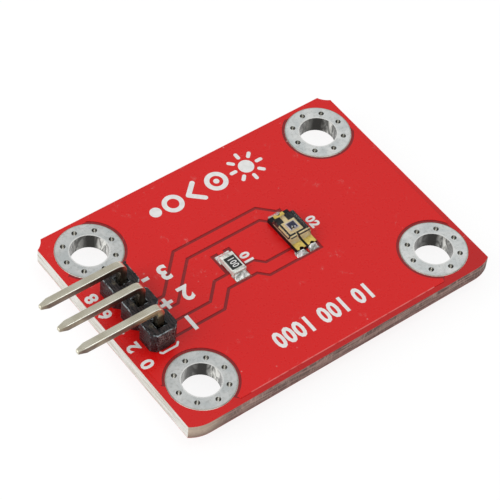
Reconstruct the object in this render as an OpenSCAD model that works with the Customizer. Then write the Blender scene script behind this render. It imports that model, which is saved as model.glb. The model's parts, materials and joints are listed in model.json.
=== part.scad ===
// Light sensor module: a small two-layer circuit board with four plated mounting rings,
// a three-way right-angle pin header, a clear-moulded light sensor and a load resistor.
// Origin: centre of the four mounting holes, on the underside of the board. +Z is up.
// +X runs along the board's long side, away from the header. Millimetres.

/* [Board] */
// Length of the board, along X
board_l = 30; // [29:0.1:34]
// Thickness of the glass-fibre core
core_t = 1.4; // [0.6:0.1:2.4]
// Thickness of the etched copper
copper_t = 0.04; // [0.02:0.01:0.1]
// Thickness of the solder mask
mask_t = 0.03; // [0.02:0.01:0.06]
// How far the board's middle lies from the hole pattern's middle, along X
board_shift_x = -0.1; // [-0.3:0.05:0.3]
// How far the board's middle lies from the hole pattern's middle, along Y
board_shift_y = -0.18; // [-0.3:0.02:0.3]
// Radius of the two near corners, where the board was routed
near_corner_r = 3; // [2:0.5:5]
// How far the routed near left corner rises from the near edge
near_left_rise = 0.57; // [0.2:0.01:1]
// How far the routed near right corner rises from the near edge
near_right_rise = 0.42; // [0.2:0.01:1]
// Leg of the two far corners, which are nicked
far_nick_leg = 0.82; // [0.4:0.02:1.2]
// Radius of the hollow in a far corner's nick
far_nick_r = 1.8; // [1:0.1:4]

/* [Mounting rings] */
// Diameter of the plated mounting hole
hole_d = 3.2; // [2.6:0.1:3.4]
// Width of the tinned ring's face round the hole
ring_w = 1.2; // [1.1:0.05:1.6]
// Distance from a ring to the board's short edge
ring_edge_x = 0.5; // [0.4:0.05:1]
// Distance from a ring to the board's long edge
ring_edge_y = 0.56; // [0.4:0.02:1]
// Distance from a ring to the end of the header, along Y
ring_header_gap = 1.08; // [0.8:0.02:3]
// Thickness of the plating on a hole's wall
plating_t = 0.05; // [0.03:0.01:0.08]
// Thickness of a ring's tinned face, copper included
ring_t = 0.06; // [0.04:0.01:0.08]
// Number of stitching vias in a ring
via_count = 8; // [4:1:10]
// Distance from the hole's wall to the circle that the vias lie on
via_inset = 0.57; // [0.45:0.01:0.65]
// Diameter of the drill for a via
via_drill_d = 0.56; // [0.4:0.02:0.6]
// Gap between a ring and the copper around it
ring_gap = 0.3; // [0.2:0.05:0.4]

/* [Copper] */
// Gap between a track and the copper around it
track_gap = 0.3; // [0.15:0.01:0.35]
// Width of a track
track_w = 0.94; // [0.5:0.02:1]
// Margin from the board's edge to the copper
copper_margin = 0.48; // [0.3:0.02:0.7]
// Width of a spoke that joins a pad to the copper around it
spoke_w = 0.5; // [0.3:0.05:0.6]
// Gap between an exposed pad and the mask's edge
mask_gap = 0.05; // [0.03:0.01:0.1]
// Width of the mask that covers the side of the copper
mask_wall = 0.02; // [0.02:0.01:0.1]

/* [Header] */
// Distance between pins
pin_pitch = 2.54; // [2.54:0.01:2.7]
// Distance from the board's short edge to the row of pins
pin_row_inset = 2.9; // [2.7:0.05:3.2]
// Side of the square pins
pin_side = 0.64; // [0.5:0.02:0.7]
// Radius inside the bend of a pin
pin_bend_r = 0.3; // [0.2:0.05:0.6]
// Height of a pin's lying leg over the board, to its middle
pin_leg_h = 3.93; // [3.5:0.01:5]
// Length of a pin from the row to its tip
pin_reach = 7.6; // [6:0.1:9]
// Length of a pin's tail below the board
pin_tail = 1.2; // [0.8:0.1:1.6]
// Length of the taper at a pin's end
pin_taper_l = 0.75; // [0.4:0.05:1]
// Side of the square at a pin's very tip
pin_tip_side = 0.34; // [0.2:0.02:0.4]
// Width of the header's housing
housing_w = 2.54; // [2.4:0.02:2.6]
// Height of the header's housing
housing_h = 2.1; // [1.8:0.1:2.6]
// Depth of the notch between two cells of the housing
housing_notch = 0.45; // [0.2:0.05:0.6]
// Length of the flat left at the bottom of a notch
housing_neck = 0.2; // [0.1:0.05:0.4]
// How far the snapped near end falls short of a full cell
housing_near_short = 0.14; // [0:0.02:0.4]
// Chamfer at the corners of the housing's far end
housing_end_chamfer = 0.2; // [0.1:0.05:0.5]
// Depth of the dimple around a pin in the housing's top
dimple_depth = 0.25; // [0.1:0.05:0.5]
// Side of the dimple
dimple_side = 0.94; // [0.8:0.02:1.1]
// Diameter of the drill for a pin
pin_drill_d = 1.1; // [1.04:0.02:1.2]
// Diameter of the land around a pin's hole
pin_land_d = 1.85; // [1.6:0.05:2]
// Height of the solder cone on a pin's tail
pin_solder_h = 0.75; // [0.5:0.05:0.9]

/* [Sensor] */
// Middle of the sensor along X
sensor_x = 3.05; // [2.5:0.05:4]
// Middle of the sensor along Y
sensor_y = 0.1; // [-0.4:0.05:0.4]
// Width of the sensor
sensor_w = 2; // [1.8:0.1:2.2]
// Length of the sensor
sensor_l = 4; // [3.9:0.1:4.4]
// Thickness of the sensor's carrier
carrier_t = 0.4; // [0.3:0.05:0.6]
// Height of the clear block over the carrier
lens_h = 0.65; // [0.5:0.05:0.9]
// Length of the clear block at its foot
lens_foot_l = 2.8; // [2.6:0.05:3]
// Length of the clear block at its top
lens_top_l = 2.32; // [2:0.02:2.5]
// Distance from the sensor's middle to the clear block's middle
lens_shift = 0.1; // [0:0.05:0.2]
// Thickness of the gilt terminals
gilt_t = 0.03; // [0.02:0.01:0.05]
// Width of the single terminal at the far end
far_pad_w = 1; // [0.8:0.05:1.2]
// Length of the single terminal at the far end
far_pad_l = 0.35; // [0.3:0.05:0.5]
// Width of each of the two terminals at the near end
near_pad_w = 0.86; // [0.6:0.02:0.9]
// Side of the square frame that the chip sits on
frame_side = 1.28; // [1.1:0.02:1.3]
// Gap between the square frame and the near terminals
frame_gap = 0.17; // [0.1:0.01:0.3]
// Width of the neck from the frame to the far terminal
neck_w = 0.4; // [0.3:0.05:0.6]
// Distance from the sensor's middle to the chip's middle, along Y
chip_shift = 0.16; // [0.1:0.02:0.2]
// Side of the square chip
chip_side = 0.82; // [0.6:0.02:0.9]
// Thickness of the chip
chip_t = 0.18; // [0.1:0.02:0.24]
// Thickness of the bond wire
wire_t = 0.04; // [0.03:0.01:0.06]
// Radius of the half-round notches in the carrier's ends
castle_r = 0.2; // [0.1:0.02:0.25]

/* [Resistor] */
// Middle of the resistor along X
resistor_x = -3.04; // [-3.3:0.02:-2.8]
// Middle of the resistor along Y
resistor_y = 0; // [-0.1:0.02:0.1]
// Length of the resistor, along Y
resistor_l = 2; // [1.8:0.05:2.1]
// Width of the resistor
resistor_w = 1.25; // [1:0.05:1.3]
// Height of the resistor
resistor_h = 0.5; // [0.4:0.02:0.65]
// Length of a resistor's end cap
cap_l = 0.35; // [0.25:0.01:0.45]
// Thickness of an end cap's metal
cap_t = 0.04; // [0.03:0.01:0.06]
// Thickness of the black coat on the resistor's top
coat_t = 0.03; // [0.02:0.01:0.04]
// Width of the black coat
coat_w = 0.97; // [0.8:0.01:1]

/* [Solder] */
// Thickness of the solder on a land
solder_t = 0.07; // [0.06:0.01:0.1]
// How far a solder fillet climbs the resistor's end
fillet_h = 0.34; // [0.2:0.02:0.4]
// How far a solder fillet runs out from the resistor's end
fillet_l = 0.5; // [0.3:0.02:0.6]
// How far a land reaches past the sensor's end
sensor_land_out = 0.36; // [0.2:0.02:0.5]
// How far a land reaches under the sensor or resistor
land_under = 0.3; // [0.2:0.05:0.34]

/* [Hidden] */
$fn = 64;
eps = 0.01; // overrun of a cut past the face that it goes through

// The board, sized by what it carries: a ring, the header and a ring in a row
pin_count = 3; // near, mid and far
ring_d = hole_d + 2 * ring_w;
via_circle_d = hole_d + 2 * via_inset;
board_w = pin_count * pin_pitch + 2 * (ring_header_gap + ring_d + ring_edge_y);
hole_pitch_x = board_l - ring_d - 2 * ring_edge_x;
hole_pitch_y = board_w - ring_d - 2 * ring_edge_y;

// Levels, from the underside up
core_z0 = copper_t + mask_t;
core_z1 = core_z0 + core_t;
board_top = core_z1 + copper_t + mask_t; // top of the mask over copper
land_top = core_z1 + solder_t; // top of the solder on a land, where the parts sit

// The board's edges
left = board_shift_x - board_l / 2;
right = board_shift_x + board_l / 2;
near = board_shift_y - board_w / 2;
far = board_shift_y + board_w / 2;

// The header
pin_row_x = left + pin_row_inset;
barrel_d = pin_drill_d - 2 * plating_t;
cell_half = pin_pitch / 2;
leg_z = board_top + pin_leg_h;
bend_mid_r = pin_bend_r + pin_side / 2;

// The tracks' bends, each a distance from a pad's own middle
supply_run_y = 3.25; // height of the supply track's long run over the middle pin
supply_start = 3.06; // straight start of the supply track
signal_start = 5.8; // straight start of the signal track
signal_mid_y = resistor_y - resistor_l / 2 - 0.05; // run under the resistor's near land
signal_mid_l = 1.5; // length of that run past the resistor's middle
signal_end_y = sensor_y - sensor_l / 2 + 0.12; // run under the sensor's near lands
corner_run = 1.5; // from a ring's middle to the end of the copper's edge

// The sensor
sensor_z0 = land_top;
carrier_z1 = sensor_z0 + carrier_t;
gilt_z1 = carrier_z1 + gilt_t;
sensor_far = sensor_y + sensor_l / 2;
sensor_near = sensor_y - sensor_l / 2;
near_pad_inset = 0.03; // from the carrier's side to a near terminal
near_pad_x = (sensor_w - near_pad_w) / 2 - near_pad_inset;
sensor_near_xs = [sensor_x - near_pad_x, sensor_x + near_pad_x];
chip_x = sensor_x + 0.08; // the chip is bonded a little off the middle
chip_y = sensor_y + chip_shift;
near_pad_l = chip_y - frame_side / 2 - frame_gap - sensor_near;
chip_z1 = gilt_z1 + chip_t;
wire_x = chip_x - chip_side / 4;
wire_foot_in = 0.12; // from the near terminal's inner end to the wire's foot
wire_rise = 0.16; // height of the wire's arch over the chip
wire_bow = 0.1; // how far the wire stands off at each end before it bends
wire_lean = 0.02; // how far the wire leans over at the chip and sags over the gap

// The solder
solder_set_back = 0.04; // from a land's outer edge to the foot of its fillet
cone_tip_share = 0.75; // radius of a tail's solder cone at its tip, as a share of the pin's side
fillet_share = 0.8; // width and height of a sensor fillet, as a share of the land's width and run
resistor_land_side = 0.05; // how far a land shows beside the resistor
land_w = resistor_w + 2 * resistor_land_side;

function pin_y(i) = (i - (pin_count - 1) / 2) * pin_pitch;

// Points on one side of a bent line, d away from it
function side_points(points, d) = [
    for (i = [0 : len(points) - 1])
        let (
            before = i == 0 ? points[1] - points[0] : points[i] - points[i - 1],
            after = i == len(points) - 1 ? before : points[i + 1] - points[i],
            n1 = [-before.y, before.x] / norm(before),
            n2 = [-after.y, after.x] / norm(after),
            mitre = n1 + n2
        )
        points[i] + mitre * 2 * d / (mitre * mitre)
];

function reversed(points) = [for (i = [len(points) - 1 : -1 : 0]) points[i]];

// A flat strip of one width along a bent line
module ribbon(points, width) {
    polygon(concat(side_points(points, width / 2), reversed(side_points(points, -width / 2))));
}

module at_rings() {
    for (x = [-1, 1], y = [-1, 1])
        translate([x * hole_pitch_x / 2, y * hole_pitch_y / 2])
            children();
}

module at_pins() {
    for (i = [0 : pin_count - 1])
        translate([pin_row_x, pin_y(i)])
            children();
}

module at_vias() {
    for (i = [0 : via_count - 1])
        rotate(i * 360 / via_count)
            translate([via_circle_d / 2, 0])
                children();
}

module slab(z0, z1) {
    translate([0, 0, z0])
        linear_extrude(z1 - z0)
            children();
}

// The hollow that nicks a far corner; sx is the corner's side
module far_nick(corner_x, sx) {
    reach = sqrt(far_nick_r * far_nick_r - far_nick_leg * far_nick_leg / 2) / sqrt(2);
    translate([corner_x - sx * far_nick_leg / 2 + sx * reach, far - far_nick_leg / 2 + reach])
        circle(far_nick_r);
}

// What the router took off a near corner; sx is the corner's side
module near_cut(corner_x, sx, rise) {
    run = sqrt(near_corner_r * near_corner_r - pow(near_corner_r - rise, 2));
    difference() {
        translate([sx > 0 ? corner_x - run : corner_x - 1, near - 1])
            square([run + 1, 1 + rise]);
        translate([corner_x - sx * run, near + near_corner_r])
            circle(near_corner_r);
    }
}

module board_outline() {
    difference() {
        translate([left, near])
            square([board_l, board_w]);
        far_nick(left, -1);
        far_nick(right, 1);
        near_cut(left, -1, near_left_rise);
        near_cut(right, 1, near_right_rise);
    }
}

// The tracks, as lines from the header's pins to the parts
supply_line = let (dx = supply_run_y, x1 = pin_row_x + supply_start)
    [
        [pin_row_x, 0],
        [x1, 0],
        [x1 + dx, supply_run_y],
        [sensor_x - (supply_run_y - sensor_far), supply_run_y],
        [sensor_x, sensor_far]
    ];
signal_line = let (
        y0 = pin_y(0),
        x1 = pin_row_x + signal_start,
        x2 = x1 + signal_mid_y - y0,
        x3 = resistor_x + signal_mid_l,
        x4 = x3 + signal_mid_y - signal_end_y
    )
    [
        [pin_row_x, y0],
        [x1, y0],
        [x2, signal_mid_y],
        [x3, signal_mid_y],
        [x4, signal_end_y],
        [sensor_near_xs[1] + near_pad_w / 2 - near_pad_inset, signal_end_y]
    ];

// The lands of the sensor and the resistor; grow widens each on every side
module sensor_far_land(grow = 0) {
    translate([sensor_x - far_pad_w / 2 - grow, sensor_far - land_under - grow])
        square([far_pad_w + 2 * grow, land_under + sensor_land_out + 2 * grow]);
}

module sensor_near_land(i, grow = 0) {
    translate([sensor_near_xs[i] - near_pad_w / 2 - grow, sensor_near - sensor_land_out - grow])
        square([near_pad_w + 2 * grow, land_under + sensor_land_out + 2 * grow]);
}

module resistor_land(sy, grow = 0) {
    l = land_under + fillet_l;
    y0 = resistor_y + sy * (resistor_l / 2 + fillet_l - l / 2);
    translate([resistor_x - land_w / 2 - grow, y0 - l / 2 - grow])
        square([land_w + 2 * grow, l + 2 * grow]);
}

module all_lands(grow = 0) {
    sensor_far_land(grow);
    sensor_near_land(0, grow);
    sensor_near_land(1, grow);
    resistor_land(-1, grow);
    resistor_land(1, grow);
}

// Copper that is left round each pin, ring and board edge. grow widens the copper.
module pour_edge(grow = 0) {
    m = copper_margin - grow;
    difference() {
        translate([left + m, near + m])
            square([board_l - 2 * m, board_w - 2 * m]);
        at_rings()
            circle(d = ring_d + 2 * ring_gap - 2 * grow);
        for (x = [-1, 1], y = [-1, 1])
            translate([x * hole_pitch_x / 2, y * hole_pitch_y / 2])
                polygon([
                    [x * grow, y * grow],
                    [-x * (corner_run - grow), y * (ring_d / 2 + ring_gap)],
                    [-x * (corner_run - grow), y * ring_d],
                    [x * ring_d, y * ring_d],
                    [x * ring_d, -y * (corner_run - grow)],
                    [x * (ring_d / 2 + ring_gap), -y * (corner_run - grow)]
                ]);
    }
}

// Four spokes that join the ground pin's land to the copper around it
module ground_spokes(grow = 0) {
    reach = pin_land_d / 2 + track_gap + eps;
    translate([pin_row_x, pin_y(pin_count - 1)])
        for (a = [0, 90])
            rotate(a)
                square([2 * reach, spoke_w + 2 * grow], center = true);
}

// Copper of the top side, without the lands that are plated or soldered
module top_copper_2d(grow = 0) {
    gap_w = track_w + 2 * track_gap;
    difference() {
        union() {
            difference() {
                pour_edge(grow);
                ribbon(supply_line, gap_w - 2 * grow);
                ribbon(signal_line, gap_w - 2 * grow);
                at_pins()
                    circle(d = pin_land_d + 2 * track_gap - 2 * grow);
                all_lands(track_gap - grow);
                under_resistor(grow);
            }
            ribbon(supply_line, track_w + 2 * grow);
            ribbon(signal_line, track_w + 2 * grow);
            ground_spokes(grow);
            land_spokes(grow);
        }
        if (grow == 0) {
            at_pins()
                circle(d = pin_land_d);
            all_lands();
        }
    }
}

// The bare strip between the resistor's two lands
module under_resistor(grow = 0) {
    w = land_w + 2 * track_gap - 2 * grow;
    translate([resistor_x - w / 2, signal_mid_y + track_w / 2])
        square([w, resistor_y + resistor_l / 2 - land_under - signal_mid_y - track_w / 2]);
}

// Spokes that join the resistor's far land to the copper around it
module land_spokes(grow = 0) {
    y1 = resistor_y + resistor_l / 2 + fillet_l;
    translate([resistor_x - spoke_w / 2 - grow, y1 - eps])
        square([spoke_w + 2 * grow, track_gap + 2 * eps]);
}

// Copper of the underside: one pour, open round the two live pins
module bottom_copper_2d(grow = 0) {
    difference() {
        union() {
            difference() {
                pour_edge(grow);
                at_pins()
                    circle(d = pin_land_d + 2 * track_gap - 2 * grow);
            }
            ground_spokes(grow);
        }
        if (grow == 0)
            at_pins()
                circle(d = pin_land_d);
    }
}

module plated_openings() {
    at_rings()
        circle(d = ring_d + 2 * mask_gap);
    at_pins()
        circle(d = pin_land_d + 2 * mask_gap);
}

module substrate() {
    color("burlywood")
        slab(core_z0, core_z1)
            difference() {
                board_outline();
                at_rings() {
                    circle(d = hole_d + 2 * plating_t);
                    at_vias()
                        circle(d = via_drill_d);
                }
                at_pins()
                    circle(d = pin_drill_d);
            }
}

module top_copper() {
    color("chocolate")
        slab(core_z1, core_z1 + copper_t)
            top_copper_2d();
}

module bottom_copper() {
    color("chocolate")
        slab(mask_t, core_z0)
            bottom_copper_2d();
}

// The mask follows the copper: low on the bare core, high over the copper
module top_mask() {
    color("red")
        difference() {
            union() {
                slab(core_z1, core_z1 + mask_t)
                    board_outline();
                slab(core_z1, board_top)
                    top_copper_2d(mask_wall);
            }
            slab(core_z1 - eps, core_z1 + copper_t)
                top_copper_2d();
            slab(core_z1 - eps, board_top + eps) {
                plated_openings();
                all_lands(mask_gap);
            }
        }
}

module bottom_mask() {
    color("red")
        difference() {
            union() {
                slab(core_z0 - mask_t, core_z0)
                    board_outline();
                slab(0, core_z0)
                    bottom_copper_2d(mask_wall);
            }
            slab(mask_t, core_z0 + eps)
                bottom_copper_2d();
            slab(-eps, core_z0 + eps)
                plated_openings();
        }
}

// One plated deposit: a ring on each face, the hole's barrel and the vias' barrels
module mounting_ring(x, y) {
    color("lightsteelblue")
        translate([x * hole_pitch_x / 2, y * hole_pitch_y / 2, 0])
            difference() {
                union() {
                    slab(core_z1, core_z1 + ring_t)
                        circle(d = ring_d);
                    slab(core_z0 - ring_t, core_z0)
                        circle(d = ring_d);
                    slab(core_z0, core_z1) {
                        circle(d = hole_d + 2 * plating_t);
                        at_vias()
                            circle(d = via_drill_d);
                    }
                }
                slab(core_z0 - ring_t - eps, core_z1 + ring_t + eps) {
                    circle(d = hole_d);
                    at_vias()
                        circle(d = via_drill_d - 2 * plating_t);
                }
            }
}

module pin_land(i) {
    color("lightsteelblue")
        translate([pin_row_x, pin_y(i), 0])
            difference() {
                union() {
                    slab(core_z1, core_z1 + copper_t)
                        circle(d = pin_land_d);
                    slab(mask_t, core_z0)
                        circle(d = pin_land_d);
                    slab(core_z0, core_z1)
                        circle(d = pin_drill_d);
                }
                slab(0, board_top)
                    circle(d = barrel_d);
            }
}

// One side of a cell of the housing; s is the side. The last cell has its own far end.
function cell_side(i, s) = let (
        x = housing_w / 2,
        is_end = i == pin_count - 1,
        near_l = cell_half - housing_neck / 2,
        far_l = is_end ? cell_half : near_l,
        far_c = is_end ? housing_end_chamfer : housing_notch,
        points = [
            [s * (x - housing_notch), pin_y(i) - near_l],
            [s * x, pin_y(i) - near_l + housing_notch],
            [s * x, pin_y(i) + far_l - far_c],
            [s * (x - far_c), pin_y(i) + far_l]
        ]
    )
    s > 0 ? points : reversed(points);

module header_housing() {
    cells = [for (i = [0 : pin_count - 1]) i];
    outline = concat(
        [for (i = cells) each cell_side(i, 1)],
        [for (i = reversed(cells)) each cell_side(i, -1)]
    );
    z0 = board_top;
    z1 = board_top + housing_h;
    near_end = pin_y(0) - cell_half + housing_near_short;
    color("darkslategray")
        translate([pin_row_x, 0, 0])
            difference() {
                slab(z0, z1)
                    polygon(outline);
                translate([-housing_w, near_end - housing_w, z0 - eps])
                    cube([2 * housing_w, housing_w, housing_h + 2 * eps]);
                for (i = cells)
                    translate([0, pin_y(i), 0]) {
                        slab(z0 - eps, z1 + eps)
                            square(pin_side, center = true);
                        slab(z1 - dimple_depth, z1 + eps)
                            square(dimple_side, center = true);
                    }
            }
}

// A square rod from the origin along +X, its end tapered on all four sides
module tapered_rod(length) {
    half = pin_side / 2;
    tip = pin_tip_side / 2;
    outline = [
        [0, -half],
        [length - pin_taper_l, -half],
        [length, -tip],
        [length, tip],
        [length - pin_taper_l, half],
        [0, half]
    ];
    intersection() {
        slab(-half, half)
            polygon(outline);
        rotate([90, 0, 0])
            slab(-half, half)
                polygon(outline);
    }
}

// A square pin: tail through the board, a tight bend and a lying leg past the board's edge
module header_pin(i) {
    color("silver")
        translate([pin_row_x, pin_y(i), 0]) {
            translate([-bend_mid_r, 0, leg_z])
                rotate([0, 180, 0])
                    tapered_rod(pin_reach - bend_mid_r);
            translate([-bend_mid_r, 0, leg_z - bend_mid_r])
                rotate([90, 0, 0])
                    rotate_extrude(angle = 90)
                        translate([bend_mid_r, 0])
                            square(pin_side, center = true);
            translate([0, 0, leg_z - bend_mid_r])
                rotate([0, 90, 0])
                    tapered_rod(leg_z - bend_mid_r + pin_tail);
        }
}

// Solder that fills the barrel round a pin and cones down its tail
module pin_solder(i) {
    steps = 6;
    r0 = pin_land_d / 2 - solder_set_back;
    r1 = pin_side * cone_tip_share;
    cone = [for (k = [0 : steps]) let (t = k / steps) [r1 + (r0 - r1) * pow(1 - t, 2), mask_t - pin_solder_h * t]];
    color("gainsboro")
        translate([pin_row_x, pin_y(i), 0])
            difference() {
                union() {
                    rotate_extrude()
                        polygon(concat([[0, mask_t]], cone, [[0, mask_t - pin_solder_h]]));
                    slab(mask_t, core_z1 + copper_t)
                        circle(d = barrel_d);
                }
                slab(-pin_tail, board_top + eps)
                    square(pin_side, center = true);
            }
}

// The carrier's half-round notches, one for each terminal
module castles() {
    translate([sensor_x, sensor_far])
        circle(castle_r);
    for (x = sensor_near_xs)
        translate([x, sensor_near])
            circle(castle_r);
}

module sensor_carrier() {
    color("black")
        slab(sensor_z0, carrier_z1)
            difference() {
                translate([sensor_x - sensor_w / 2, sensor_near])
                    square([sensor_w, sensor_l]);
                castles();
            }
}

module sensor_far_terminal() {
    color("gold")
        slab(carrier_z1, gilt_z1)
            difference() {
                union() {
                    translate([sensor_x - far_pad_w / 2, sensor_far - far_pad_l])
                        square([far_pad_w, far_pad_l]);
                    translate([sensor_x - neck_w / 2, chip_y])
                        square([neck_w, sensor_far - far_pad_l - chip_y + eps]);
                    translate([chip_x - frame_side / 2, chip_y - frame_side / 2])
                        square(frame_side);
                }
                castles();
            }
}

module sensor_near_terminal(i) {
    color("gold")
        slab(carrier_z1, gilt_z1)
            difference() {
                translate([sensor_near_xs[i] - near_pad_w / 2, sensor_near])
                    square([near_pad_w, near_pad_l]);
                castles();
            }
}

module sensor_chip() {
    color("midnightblue")
        translate([chip_x - chip_side / 2, chip_y - chip_side / 2, gilt_z1])
            cube([chip_side, chip_side, chip_t]);
}

// The bond wire arches from the chip's top down to the near left terminal
wire_line = let (
        y1 = chip_y - chip_side / 4,
        y2 = sensor_near + near_pad_l - wire_foot_in,
        top = chip_z1 + wire_rise
    )
    [
        [y1, chip_z1],
        [y1 - wire_lean, chip_z1 + wire_bow],
        [y1 - wire_lean - wire_bow, top],
        [(y1 + y2) / 2, top - wire_lean],
        [y2 + wire_bow, gilt_z1 + wire_bow],
        [y2, gilt_z1]
    ];

// Sets a drawing in Y and Z upright, w thick, with its middle at x
module upright(x, w) {
    translate([x - w / 2, 0, 0])
        rotate([90, 0, 90])
            linear_extrude(w)
                children();
}

module sensor_bond_wire() {
    color("gold")
        intersection() {
            upright(wire_x, wire_t)
                ribbon(wire_line, wire_t);
            union() {
                translate([wire_x - wire_t, chip_y - chip_side / 2, chip_z1])
                    cube([2 * wire_t, chip_side, lens_h]);
                translate([wire_x - wire_t, sensor_near, gilt_z1])
                    cube([2 * wire_t, chip_y - chip_side / 2 - sensor_near, lens_h]);
            }
        }
}

// The clear block: drafted ends, moulded over the terminals, chip and wire
module sensor_lens() {
    y0 = sensor_y + lens_shift;
    color("lightcyan", 0.4)
        difference() {
            upright(sensor_x, sensor_w)
                polygon([
                    [y0 - lens_foot_l / 2, carrier_z1],
                    [y0 + lens_foot_l / 2, carrier_z1],
                    [y0 + lens_top_l / 2, carrier_z1 + lens_h],
                    [y0 - lens_top_l / 2, carrier_z1 + lens_h]
                ]);
            sensor_far_terminal();
            sensor_near_terminal(0);
            sensor_near_terminal(1);
            sensor_chip();
            sensor_bond_wire();
        }
}

// Solder on a sensor land: a thin bed, a fillet at the carrier's end and the filled notch.
// s is the end's side, w the land's width.
module sensor_solder(x, end_y, s, w) {
    r = sensor_land_out - solder_set_back;
    color("whitesmoke")
        translate([x, end_y, 0]) {
            translate([-w / 2, s > 0 ? -land_under : -sensor_land_out, core_z1])
                cube([w, land_under + sensor_land_out, solder_t]);
            difference() {
                translate([-w * fillet_share / 2, s > 0 ? 0 : -r, land_top])
                    cube([w * fillet_share, r, r * fillet_share]);
                translate([0, s * r, land_top + r])
                    rotate([0, 90, 0])
                        cylinder(h = 2 * w, r = r, center = true);
            }
            intersection() {
                slab(land_top, carrier_z1)
                    circle(castle_r);
                translate([-castle_r, s > 0 ? -castle_r : 0, land_top])
                    cube([2 * castle_r, castle_r, carrier_t]);
            }
        }
}

module resistor_body() {
    color("white")
        translate([resistor_x, resistor_y, land_top + cap_t])
            translate([-resistor_w / 2, -resistor_l / 2 + cap_t, 0])
                cube([resistor_w, resistor_l - 2 * cap_t, resistor_h - 2 * cap_t]);
}

module resistor_coat() {
    l = resistor_l - 2 * cap_l;
    color("black")
        translate([resistor_x - coat_w / 2, resistor_y - l / 2, land_top + resistor_h - cap_t])
            cube([coat_w, l, coat_t]);
}

// An end cap wraps the end, the top and the foot of the resistor
module resistor_cap(s) {
    color("lightgray")
        difference() {
            translate([
                resistor_x - resistor_w / 2,
                resistor_y + (s > 0 ? resistor_l / 2 - cap_l : -resistor_l / 2),
                land_top
            ])
                cube([resistor_w, cap_l, resistor_h]);
            translate([resistor_x - resistor_w, resistor_y - resistor_l / 2 + cap_t, land_top + cap_t])
                cube([2 * resistor_w, resistor_l - 2 * cap_t, resistor_h - 2 * cap_t]);
        }
}

// Solder on a resistor land: a thin bed and a hollow fillet up the end cap
module resistor_solder(s) {
    end_y = resistor_y + s * resistor_l / 2;
    run = fillet_l - solder_set_back;
    color("whitesmoke") {
        slab(core_z1, land_top)
            resistor_land(s);
        difference() {
            translate([resistor_x - resistor_w / 2, s > 0 ? end_y : end_y - run, land_top])
                cube([resistor_w, run, fillet_h]);
            translate([resistor_x, end_y + s * fillet_l, land_top + fillet_l])
                rotate([0, 90, 0])
                    cylinder(h = 2 * resistor_w, r = fillet_l - solder_set_back / 2, center = true);
        }
    }
}

substrate();
top_copper();
bottom_copper();
top_mask();
bottom_mask();
mounting_ring(-1, -1);  // mounting_ring_near_left
mounting_ring(1, -1);  // mounting_ring_near_right
mounting_ring(-1, 1);  // mounting_ring_far_left
mounting_ring(1, 1);  // mounting_ring_far_right
pin_land(0);  // pin_land_near
pin_land(1);  // pin_land_mid
pin_land(2);  // pin_land_far
header_housing();
header_pin(0);  // header_pin_near
header_pin(1);  // header_pin_mid
header_pin(2);  // header_pin_far
pin_solder(0);  // pin_solder_near
pin_solder(1);  // pin_solder_mid
pin_solder(2);  // pin_solder_far
sensor_carrier();
sensor_far_terminal();
sensor_near_terminal(0);  // sensor_near_left_terminal
sensor_near_terminal(1);  // sensor_near_right_terminal
sensor_chip();
sensor_bond_wire();
sensor_lens();
sensor_solder(sensor_x, sensor_far, 1, far_pad_w);  // sensor_solder_far
sensor_solder(sensor_near_xs[0], sensor_near, -1, near_pad_w);  // sensor_solder_near_left
sensor_solder(sensor_near_xs[1], sensor_near, -1, near_pad_w);  // sensor_solder_near_right
resistor_body();
resistor_coat();
resistor_cap(-1);  // resistor_cap_near
resistor_cap(1);  // resistor_cap_far
resistor_solder(-1);  // resistor_solder_near
resistor_solder(1);  // resistor_solder_far
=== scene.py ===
import json
import math
import bpy
from mathutils import Matrix, Vector

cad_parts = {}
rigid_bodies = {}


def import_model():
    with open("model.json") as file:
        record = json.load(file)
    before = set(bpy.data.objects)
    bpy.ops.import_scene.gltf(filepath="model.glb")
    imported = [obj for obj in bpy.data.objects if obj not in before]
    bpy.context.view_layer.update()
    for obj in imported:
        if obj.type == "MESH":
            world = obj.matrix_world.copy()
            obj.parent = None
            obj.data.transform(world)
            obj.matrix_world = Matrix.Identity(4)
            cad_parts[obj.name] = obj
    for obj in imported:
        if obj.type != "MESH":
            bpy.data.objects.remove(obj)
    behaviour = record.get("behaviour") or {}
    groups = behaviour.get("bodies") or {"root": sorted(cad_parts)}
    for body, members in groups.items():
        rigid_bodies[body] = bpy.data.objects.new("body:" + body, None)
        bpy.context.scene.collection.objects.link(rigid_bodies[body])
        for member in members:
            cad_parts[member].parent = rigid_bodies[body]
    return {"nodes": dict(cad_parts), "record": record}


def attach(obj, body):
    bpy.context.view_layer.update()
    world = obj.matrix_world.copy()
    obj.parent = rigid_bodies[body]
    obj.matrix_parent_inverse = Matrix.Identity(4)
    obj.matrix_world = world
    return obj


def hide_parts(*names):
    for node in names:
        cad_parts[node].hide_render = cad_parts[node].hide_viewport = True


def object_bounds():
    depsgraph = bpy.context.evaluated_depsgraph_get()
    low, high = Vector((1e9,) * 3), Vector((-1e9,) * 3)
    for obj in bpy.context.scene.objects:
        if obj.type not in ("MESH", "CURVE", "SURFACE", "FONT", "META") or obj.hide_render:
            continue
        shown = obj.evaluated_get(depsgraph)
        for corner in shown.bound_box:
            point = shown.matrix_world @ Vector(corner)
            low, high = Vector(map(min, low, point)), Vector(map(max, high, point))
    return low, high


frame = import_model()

mm = 0.001
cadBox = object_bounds()


# Places in mm from the middle of the four holes, read from the CAD nodes

def sized(value):
    return round(value, 3)


def nodeBox(nodeName):  # low and high corner of a CAD node
    node = frame["nodes"][nodeName]
    spots = [node.matrix_world @ corner.co / mm for corner in node.data.vertices]
    return [[sized(pick(spot[axis] for spot in spots)) for axis in range(3)] for pick in (min, max)]


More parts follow.
